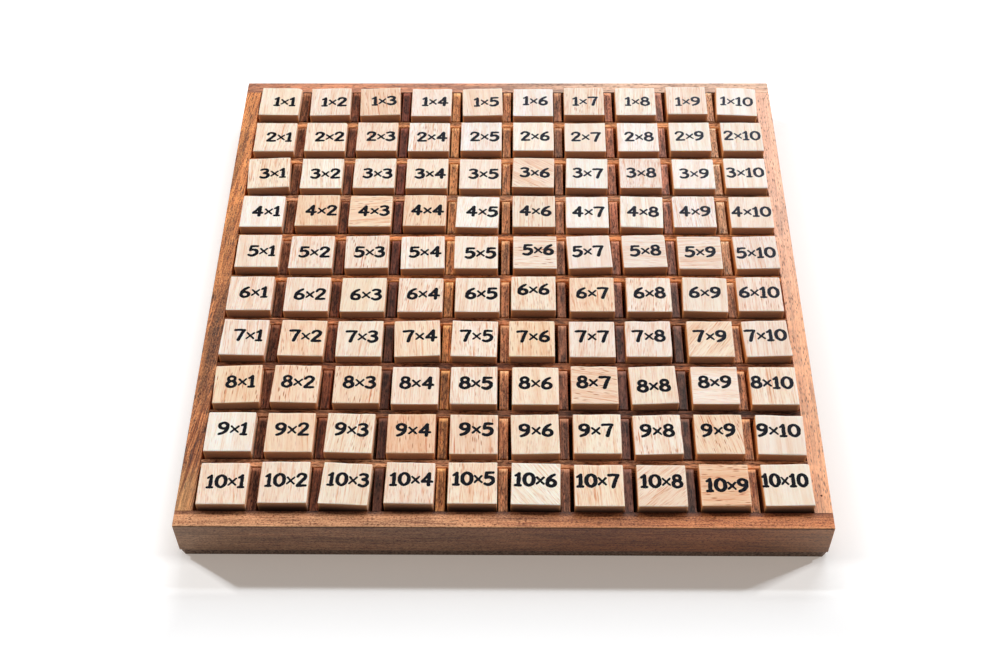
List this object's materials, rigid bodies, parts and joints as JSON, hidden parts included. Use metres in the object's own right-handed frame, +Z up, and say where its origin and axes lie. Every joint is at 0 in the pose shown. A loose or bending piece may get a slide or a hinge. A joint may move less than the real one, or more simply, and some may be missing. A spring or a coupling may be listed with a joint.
{
  "type": "hundred board",
  "caption": "Square wooden multiplication board: a shallow tray divided into a grid of pockets, each holding a loose numbered wooden tile.",
  "frame": {"origin": "middle of the underside of the base board, on the surface that the board stands on", "axes": "+X right along a row of tiles, +Y to the back row, +Z up"},
  "size_m": [0.301, 0.301, 0.029],
  "materials": {
    "frame_hardwood": "planed reddish hardwood, thin matt oil",
    "row_strip_hardwood": "sawn reddish hardwood, unpolished",
    "column_strip_hardwood": "sawn dark hardwood, unpolished",
    "base_plywood": "stained plywood, matt",
    "tile_rubberwood": "sanded pale wood, bare"
  },
  "bodies": {
    "root": {"base_board": "base_plywood", "front_rail": "frame_hardwood", "back_rail": "frame_hardwood", "left_rail": "frame_hardwood", "right_rail": "frame_hardwood", "row_strip_01": "row_strip_hardwood", "row_strip_02": "row_strip_hardwood", "row_strip_03": "row_strip_hardwood", "row_strip_04": "row_strip_hardwood", "row_strip_05": "row_strip_hardwood", "row_strip_06": "row_strip_hardwood", "row_strip_07": "row_strip_hardwood", "row_strip_08": "row_strip_hardwood", "row_strip_09": "row_strip_hardwood", "column_strip_01": "column_strip_hardwood", "column_strip_02": "column_strip_hardwood", "column_strip_03": "column_strip_hardwood", "column_strip_04": "column_strip_hardwood", "column_strip_05": "column_strip_hardwood", "column_strip_06": "column_strip_hardwood", "column_strip_07": "column_strip_hardwood", "column_strip_08": "column_strip_hardwood", "column_strip_09": "column_strip_hardwood", "tile_row_01": "tile_rubberwood", "tile_row_02": "tile_rubberwood", "tile_row_03": "tile_rubberwood", "tile_row_04": "tile_rubberwood", "tile_row_05": "tile_rubberwood", "tile_row_06": "tile_rubberwood", "tile_row_07": "tile_rubberwood", "tile_row_08": "tile_rubberwood", "tile_row_09": "tile_rubberwood", "tile_row_10": "tile_rubberwood"}
  },
  "joints": []
}
